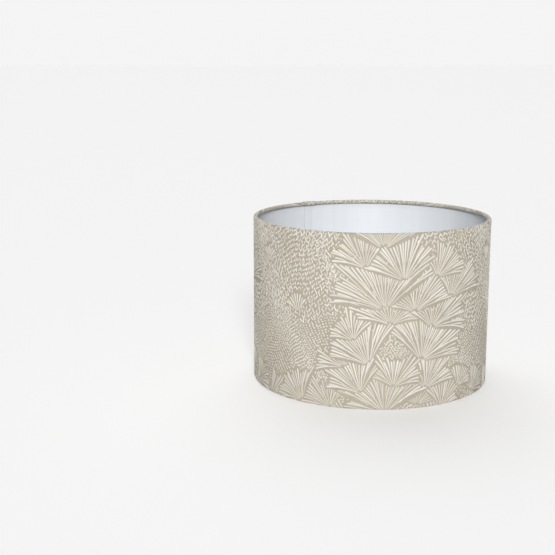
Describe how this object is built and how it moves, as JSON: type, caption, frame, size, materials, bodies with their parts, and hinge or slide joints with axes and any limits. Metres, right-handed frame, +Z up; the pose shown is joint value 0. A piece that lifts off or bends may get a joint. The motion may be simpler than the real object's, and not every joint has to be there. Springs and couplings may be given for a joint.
{
  "type": "drum lamp shade",
  "caption": "Drum lamp shade of patterned cloth on a white plastic lining, its edges rolled round wire rings, with a wire spider near the base and a lift-out reducer ring.",
  "frame": {"origin": "the middle of the shade's base, on the surface it stands on", "axes": "+Z up the drum's axis to its open top; -Y towards the viewer, with +X to the right; the side seam is at the back left, 121 degrees round from +X"},
  "size_m": [0.3, 0.3, 0.21],
  "materials": {
    "cover_cloth": "woven jacquard cloth in taupe, with a raised cream pattern of fans, leaf strokes and dots",
    "satin_lining": "satin white plastic sheet with a faint cool sheen",
    "adhesive_tape": "thin translucent double-sided tape",
    "coated_wire": "white powder-coated steel wire and pressed sheet",
    "white_plastic": "moulded white plastic, satin"
  },
  "bodies": {
    "shade": {"cloth_cover": "cover_cloth", "lining_panel": "satin_lining", "seam_tape": "adhesive_tape", "top_ring": "coated_wire", "bottom_ring": "coated_wire", "top_ring_tape": "adhesive_tape", "bottom_ring_tape": "adhesive_tape", "spider_arm_1": "coated_wire", "spider_arm_2": "coated_wire", "spider_arm_3": "coated_wire", "fitter_ring": "coated_wire"},
    "reducer": {"reducer_ring": "white_plastic"}
  },
  "joints": [
    {"name": "reducer_lift", "type": "slide", "parent": "shade", "child": "reducer", "axis": [0, 0, 1], "range_m": [0, 0.03]}
  ]
}
